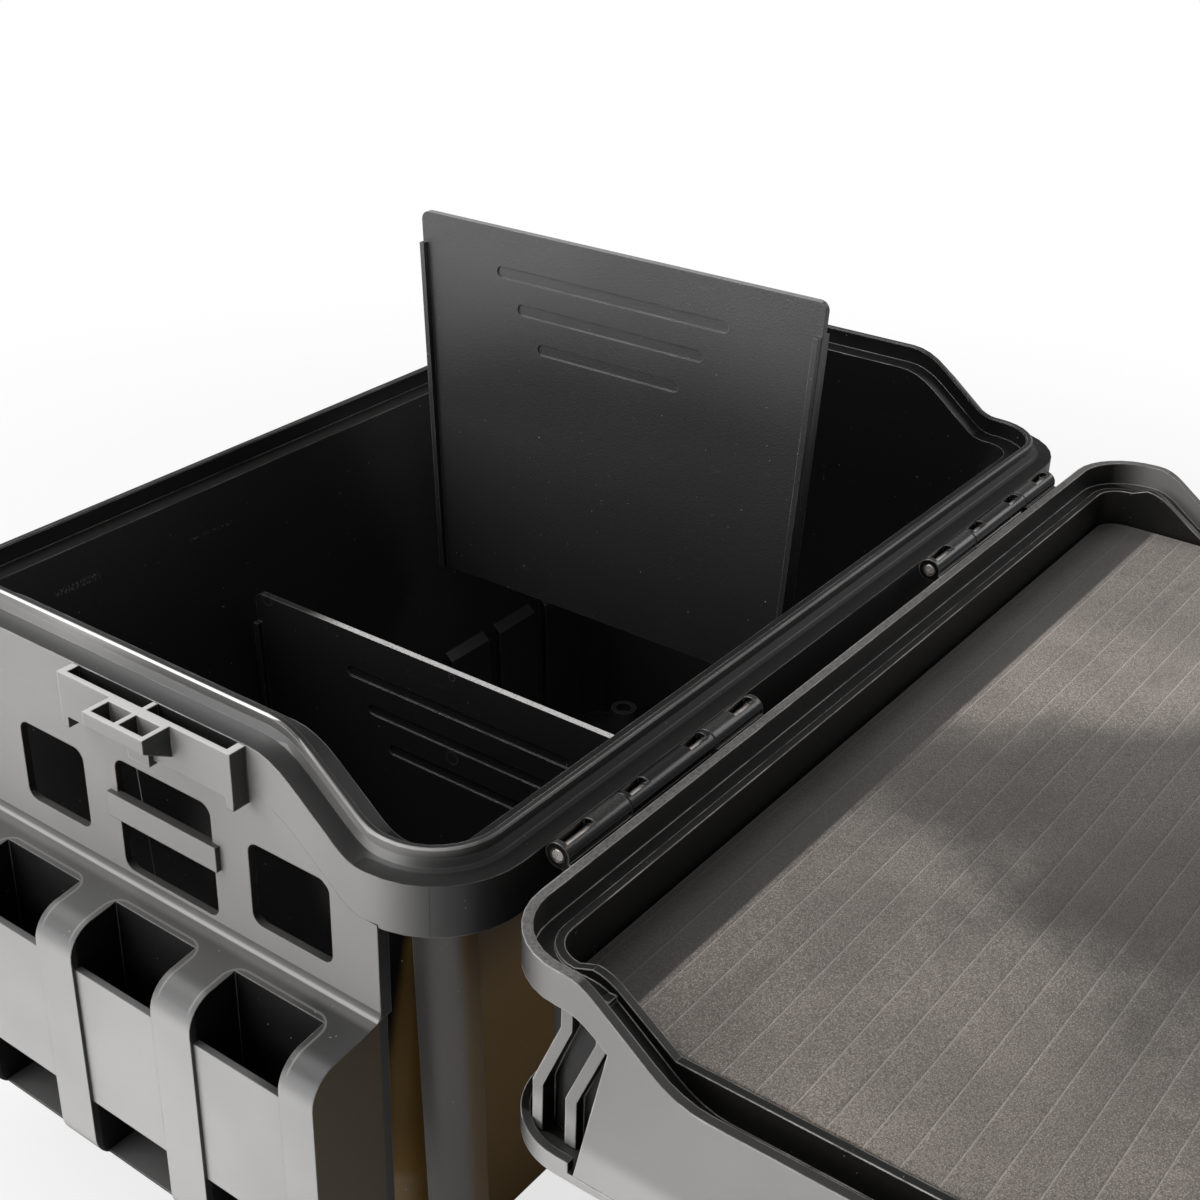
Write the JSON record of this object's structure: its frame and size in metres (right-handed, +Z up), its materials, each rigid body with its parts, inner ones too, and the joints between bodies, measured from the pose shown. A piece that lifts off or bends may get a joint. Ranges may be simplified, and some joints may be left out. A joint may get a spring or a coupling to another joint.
{
  "type": "tackle seat box",
  "caption": "Moulded fishing seat box with a fold-back seat lid, lift-out dividers, windowed end panels with tool pockets, and front latches.",
  "frame": {"origin": "middle of the tub's flat underside, level with the feet's undersides", "axes": "+Z up; +X toward the end whose bracket sits on the hinge side of the middle; +Y toward the hinges"},
  "size_m": [0.5092, 0.6419, 0.3239],
  "materials": {
    "black_plastic": "fine moulded texture, satin",
    "panel_plastic": "fine moulded texture, satin",
    "divider_plastic": "smooth satin",
    "rubber": "matt",
    "foam": "closed-cell foam sheet, matt",
    "steel": "drawn wire"
  },
  "bodies": {
    "body": {"body_shell": "black_plastic", "corner_post_1": "black_plastic", "corner_post_2": "black_plastic", "corner_post_3": "black_plastic", "corner_post_4": "black_plastic", "foot_1": "rubber", "foot_2": "rubber", "foot_3": "rubber", "foot_4": "rubber", "end_panel_near": "panel_plastic", "pocket_rack_near": "panel_plastic", "accessory_bracket_near": "panel_plastic", "hinge_pin_near": "steel", "end_panel_far": "panel_plastic", "pocket_rack_far": "panel_plastic", "accessory_bracket_far": "panel_plastic", "hinge_pin_far": "steel", "latch_mount_left": "black_plastic", "latch_pin_left": "steel", "latch_mount_right": "black_plastic", "latch_pin_right": "steel"},
    "lid": {"lid_shell": "black_plastic", "lid_mat": "foam", "lid_cover": "black_plastic", "seat_cushion": "foam"},
    "divider_seated": {"divider_seated": "divider_plastic"},
    "divider_lifted": {"divider_lifted": "divider_plastic"},
    "latch_left": {"latch_left": "black_plastic"},
    "latch_right": {"latch_right": "black_plastic"}
  },
  "joints": [
    {"name": "lid_hinge", "type": "hinge", "parent": "body", "child": "lid", "pos_m": [0, 0.1552, 0.2223], "axis": [1, 0, 0], "range_deg": [0, 100]},
    {"name": "divider_seated_slide", "type": "slide", "parent": "body", "child": "divider_seated", "axis": [0, 0, 1], "range_m": [0, 0.1456]},
    {"name": "divider_lifted_slide", "type": "slide", "parent": "body", "child": "divider_lifted", "axis": [0, 0, 1], "range_m": [-0.1456, 0]},
    {"name": "latch_right_pivot", "type": "hinge", "parent": "body", "child": "latch_right", "pos_m": [0.112, -0.1558, 0.2073], "axis": [1, 0, 0], "range_deg": [-150, 0]},
    {"name": "latch_left_pivot", "type": "hinge", "parent": "body", "child": "latch_left", "pos_m": [-0.112, -0.1558, 0.2073], "axis": [1, 0, 0], "range_deg": [-150, 0]}
  ]
}
